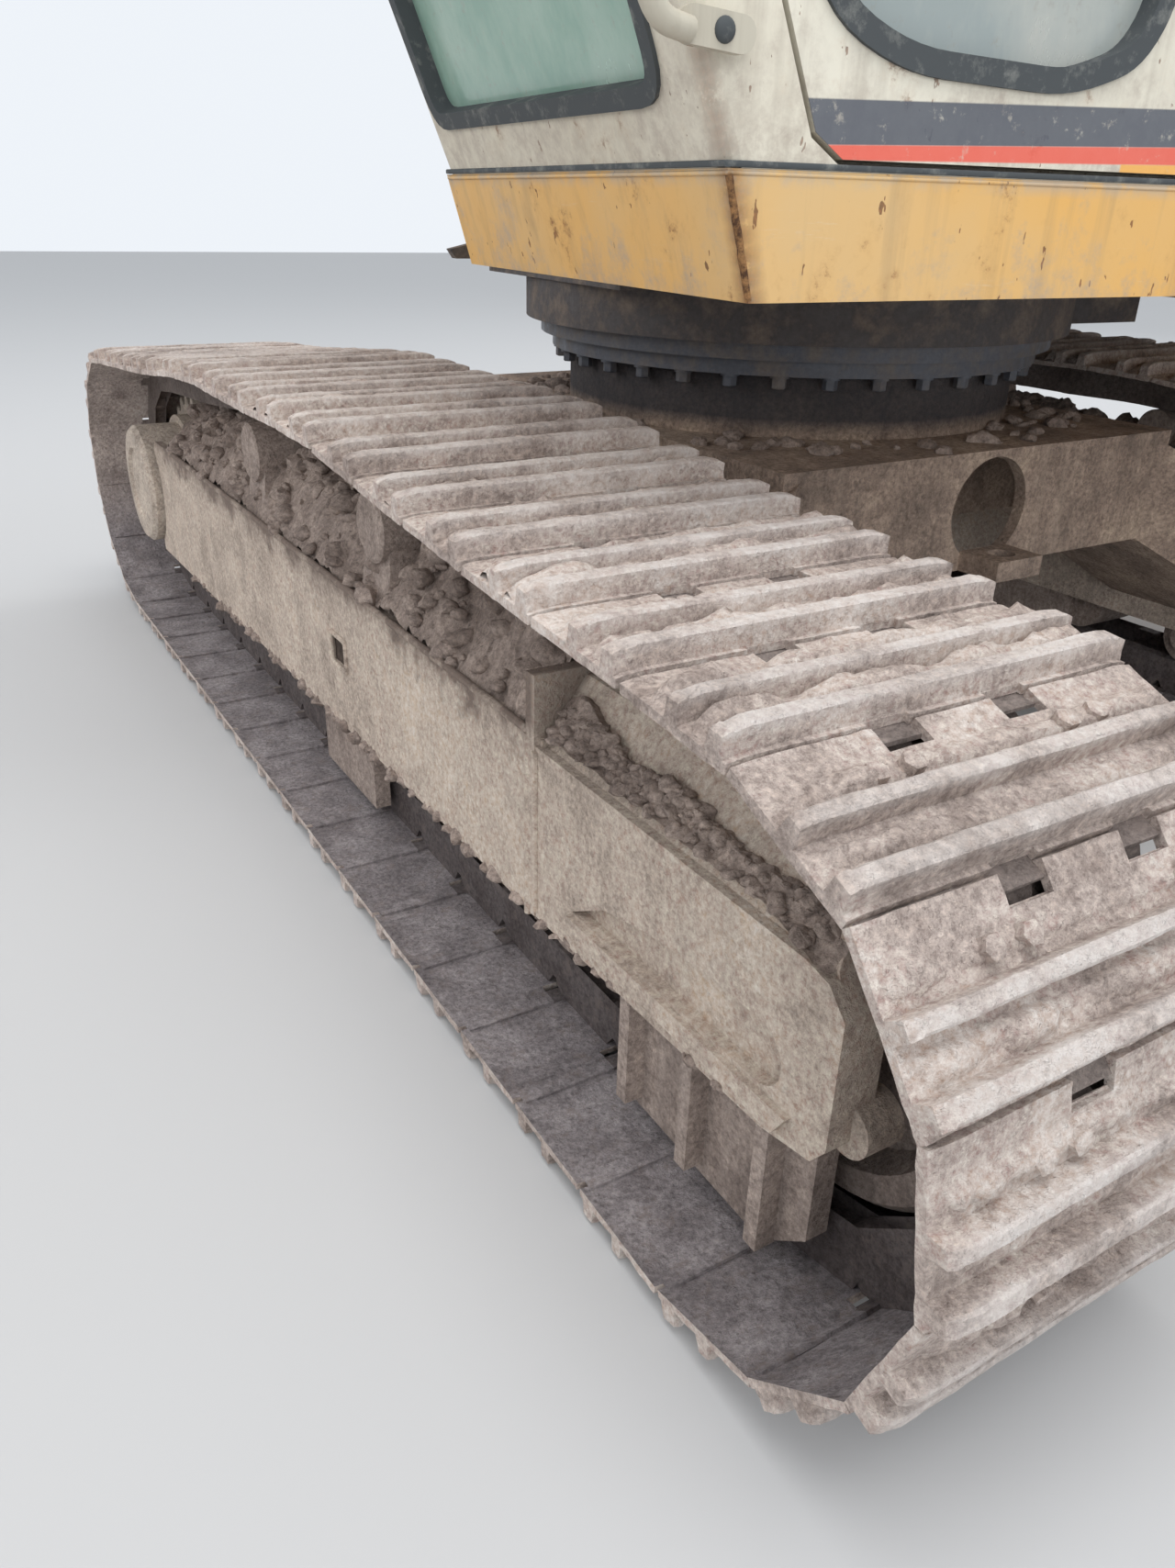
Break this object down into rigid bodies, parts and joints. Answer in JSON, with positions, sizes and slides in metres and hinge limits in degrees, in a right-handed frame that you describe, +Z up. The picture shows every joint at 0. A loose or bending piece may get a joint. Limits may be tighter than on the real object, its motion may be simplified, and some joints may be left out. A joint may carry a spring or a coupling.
{
  "type": "crawler excavator",
  "caption": "Crawler excavator with a cab on the left, tracks turned square to the boom, a bent boom, stick and backhoe bucket on hydraulic cylinders, muddy and worn.",
  "frame": {"origin": "on the ground, under the middle of the whole machine as it is parked", "axes": "+X the way the boom points, +Y to the cab's side (left), +Z up"},
  "size_m": [8.6129, 4.3203, 4.9148],
  "materials": {
    "mud_steel": "dry mud over worn steel",
    "yellow_paint": "worn semi-gloss",
    "cream_paint": "worn semi-gloss",
    "dark_paint": "greasy matt",
    "bare_steel": "worn",
    "rod_chrome": "polished",
    "glass": "tinted",
    "seat_cloth": "cloth",
    "black_plastic": "matt",
    "exhaust_steel": "sooty matt"
  },
  "bodies": {
    "undercarriage": {"carbody": "mud_steel", "track_frame_right": "mud_steel", "track_frame_left": "mud_steel", "track_right": "mud_steel", "track_left": "mud_steel", "idlers": "mud_steel", "final_drives": "mud_steel", "track_rollers": "mud_steel", "carrier_rollers": "mud_steel", "roller_guards": "mud_steel", "swing_bearing": "dark_paint"},
    "upper": {"revolving_frame": "dark_paint", "deck_plates": "yellow_paint", "cab_shell": "cream_paint", "cab_glass": "glass", "operator_seat": "seat_cloth", "cab_consoles": "black_plastic", "counterweight": "yellow_paint", "engine_bay_frame": "yellow_paint", "engine_block": "dark_paint", "fuel_tank": "yellow_paint", "hydraulic_tank": "yellow_paint", "tool_box": "yellow_paint", "exhaust_stack": "exhaust_steel", "handrails": "yellow_paint", "mirrors": "black_plastic", "work_lamps": "black_plastic"},
    "hood": {"engine_hood": "yellow_paint"},
    "left_door": {"left_side_door": "yellow_paint"},
    "right_door": {"right_side_door": "yellow_paint"},
    "cab_door": {"cab_door": "cream_paint", "cab_door_glass": "glass"},
    "boom": {"boom": "yellow_paint"},
    "stick": {"stick": "yellow_paint"},
    "bucket": {"bucket": "bare_steel", "bucket_teeth": "bare_steel"},
    "boom_barrels": {"boom_cylinder_barrels": "yellow_paint"},
    "boom_rods": {"boom_cylinder_rods": "rod_chrome"},
    "stick_barrel": {"stick_cylinder_barrel": "yellow_paint"},
    "stick_rod": {"stick_cylinder_rod": "rod_chrome"},
    "bucket_barrel": {"bucket_cylinder_barrel": "yellow_paint"},
    "bucket_rod": {"bucket_cylinder_rod": "rod_chrome"},
    "rocker": {"bucket_rocker": "bare_steel"},
    "link": {"bucket_link": "bare_steel"}
  },
  "joints": [
    {"name": "swing", "type": "hinge", "parent": "undercarriage", "child": "upper", "pos_m": [-1.55071, 0, 1], "axis": [0, 0, 1], "continuous": true},
    {"name": "boom_lift", "type": "hinge", "parent": "upper", "child": "boom", "pos_m": [-1.47071, 0, 1.75], "axis": [0, -1, 0], "range_deg": [-64.41, 38.59]},
    {"name": "stick_curl", "type": "hinge", "parent": "boom", "child": "stick", "pos_m": [3.70137, 0, 4.09777], "axis": [0, 1, 0], "range_deg": [-93.41, 26.59]},
    {"name": "bucket_curl", "type": "hinge", "parent": "stick", "child": "bucket", "pos_m": [3.34551, 0, 1.19953], "axis": [0, 1, 0], "range_deg": [-69.9, 100.1]},
    {"name": "boom_barrels_tilt", "type": "hinge", "parent": "upper", "child": "boom_barrels", "pos_m": [-0.95071, 0, 1.3], "axis": [0, -1, 0], "range_deg": [-65.33, 39.15]},
    {"name": "boom_rods_slide", "type": "slide", "parent": "boom_barrels", "child": "boom_rods", "axis": [0.5143, 0, 0.8576], "range_m": [-0.6703, 0.4018]},
    {"name": "stick_barrel_tilt", "type": "hinge", "parent": "boom", "child": "stick_barrel", "pos_m": [0.69061, 0, 4.24662], "axis": [0, -1, 0], "range_deg": [-0.64, 2.19]},
    {"name": "stick_rod_slide", "type": "slide", "parent": "stick_barrel", "child": "stick_rod", "axis": [0.9881, 0, 0.154], "range_m": [-1.0786, 0.3074]},
    {"name": "bucket_barrel_tilt", "type": "hinge", "parent": "stick", "child": "bucket_barrel", "pos_m": [4.21071, 0, 3.73298], "axis": [0, -1, 0], "range_deg": [-4.29, 3]},
    {"name": "bucket_rod_slide", "type": "slide", "parent": "bucket_barrel", "child": "bucket_rod", "axis": [-0.1008, 0, -0.9949], "range_m": [-0.4022, 0.5758]},
    {"name": "rocker_turn", "type": "hinge", "parent": "stick", "child": "rocker", "pos_m": [3.41655, 0, 1.61397], "axis": [0, -1, 0], "range_deg": [-70.09, 48.95]},
    {"name": "link_turn", "type": "hinge", "parent": "rocker", "child": "link", "pos_m": [3.97342, 0, 1.39061], "axis": [0, -1, 0], "range_deg": [-28.68, 41.06]},
    {"name": "cab_door_hinge", "type": "hinge", "parent": "upper", "child": "cab_door", "pos_m": [-1.59871, 1.314, 2], "axis": [0, 0, 1], "range_deg": [0, 165]},
    {"name": "hood_hinge", "type": "hinge", "parent": "upper", "child": "hood", "pos_m": [-3.54841, 0, 2.2403], "axis": [0, -1, 0], "range_deg": [0, 70]},
    {"name": "left_door_hinge", "type": "hinge", "parent": "upper", "child": "left_door", "pos_m": [-3.51041, 1.312, 1.7], "axis": [0, 0, 1], "range_deg": [0, 110]},
    {"name": "right_door_hinge", "type": "hinge", "parent": "upper", "child": "right_door", "pos_m": [-3.51041, -1.312, 1.7], "axis": [0, 0, -1], "range_deg": [0, 110]}
  ],
  "couplings": [
    {"joint": "boom_barrels_tilt", "follows": "boom_lift", "ratio": 1.014},
    {"joint": "boom_rods_slide", "follows": "boom_lift", "m_per_rad": 0.59582},
    {"joint": "stick_barrel_tilt", "follows": "stick_curl", "ratio": -0.02326},
    {"joint": "stick_rod_slide", "follows": "stick_curl", "m_per_rad": 0.66131},
    {"joint": "bucket_barrel_tilt", "follows": "bucket_curl", "ratio": -0.04268},
    {"joint": "bucket_rod_slide", "follows": "bucket_curl", "m_per_rad": 0.32928},
    {"joint": "rocker_turn", "follows": "bucket_curl", "ratio": -0.7},
    {"joint": "link_turn", "follows": "bucket_curl", "ratio": 0.41}
  ]
}
